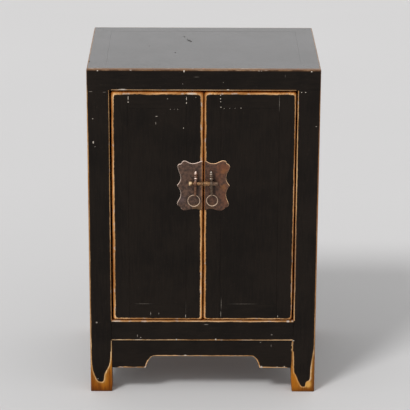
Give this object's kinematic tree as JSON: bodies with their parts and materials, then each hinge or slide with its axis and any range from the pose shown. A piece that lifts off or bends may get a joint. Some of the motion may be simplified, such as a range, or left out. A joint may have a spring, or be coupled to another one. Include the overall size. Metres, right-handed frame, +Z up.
{
  "type": "bedside cabinet",
  "caption": "Small black-lacquered cabinet on corner-post feet, with paired doors, an arched apron, a scalloped face plate, ring pulls and a lock pin.",
  "frame": {"origin": "on the floor, in the middle of the space that the closed cabinet takes up, hardware included", "axes": "+X to the right seen from the front, +Y to the back, +Z up"},
  "size_m": [0.42, 0.3304, 0.625],
  "materials": {
    "black_lacquer": "black lacquer over softwood, satin, rubbed through to brown wood along the edges",
    "inner_wood": "plain planed wood, thinly oiled",
    "back_wood": "thin dark lacquer over wood",
    "plate_bronze": "dark, tarnished, with rust-brown patches",
    "lug_bronze": "dark, rubbed bright on high places",
    "ring_bronze": "worn",
    "pin_brass": "golden, lightly tarnished"
  },
  "bodies": {
    "carcass": {"back_panel": "back_wood", "bottom_board": "inner_wood", "bottom_rail_back": "black_lacquer", "bottom_rail_front": "black_lacquer", "bottom_rail_left": "black_lacquer", "bottom_rail_right": "black_lacquer", "door_stop_bottom": "inner_wood", "door_stop_top": "inner_wood", "front_apron": "black_lacquer", "post_back_left": "black_lacquer", "post_back_right": "black_lacquer", "post_front_left": "black_lacquer", "post_front_right": "black_lacquer", "shelf": "inner_wood", "shelf_bearer_left": "inner_wood", "shelf_bearer_right": "inner_wood", "side_apron_left": "black_lacquer", "side_apron_right": "black_lacquer", "side_panel_left": "black_lacquer", "side_panel_right": "black_lacquer", "top_cleat_left": "inner_wood", "top_cleat_right": "inner_wood", "top_panel": "black_lacquer", "top_rail_back": "black_lacquer", "top_rail_front": "black_lacquer", "top_rail_left": "black_lacquer", "top_rail_right": "black_lacquer"},
    "left_door": {"left_door_bottom_rail": "black_lacquer", "left_door_inner_stile": "black_lacquer", "left_door_outer_stile": "black_lacquer", "left_door_panel": "black_lacquer", "left_door_top_rail": "black_lacquer", "left_face_plate": "plate_bronze", "left_lug": "lug_bronze"},
    "right_door": {"pin_socket": "pin_brass", "right_door_bottom_rail": "black_lacquer", "right_door_inner_stile": "black_lacquer", "right_door_outer_stile": "black_lacquer", "right_door_panel": "black_lacquer", "right_door_top_rail": "black_lacquer", "right_face_plate": "plate_bronze", "right_lug": "lug_bronze"},
    "lock_pin": {"lock_pin": "pin_brass"},
    "left_ring": {"left_ring": "ring_bronze"},
    "right_ring": {"right_ring": "ring_bronze"}
  },
  "joints": [
    {"name": "left_door_pivot", "type": "hinge", "parent": "carcass", "child": "left_door", "pos_m": [-0.1563, -0.1428, 0.142], "axis": [0, 0, -1], "range_deg": [0, 104]},
    {"name": "right_door_pivot", "type": "hinge", "parent": "carcass", "child": "right_door", "pos_m": [0.1563, -0.1428, 0.142], "axis": [0, 0, 1], "range_deg": [0, 104]},
    {"name": "lock_pin_slide", "type": "slide", "parent": "left_door", "child": "lock_pin", "axis": [-1, 0, 0], "range_m": [-0.0028, 0.014]},
    {"name": "left_ring_swing", "type": "hinge", "parent": "left_door", "child": "left_ring", "pos_m": [-0.0148, -0.1576, 0.3897], "axis": [-1, 0, 0], "range_deg": [0, 150]},
    {"name": "right_ring_swing", "type": "hinge", "parent": "right_door", "child": "right_ring", "pos_m": [0.0148, -0.1576, 0.3897], "axis": [-1, 0, 0], "range_deg": [0, 150]}
  ]
}
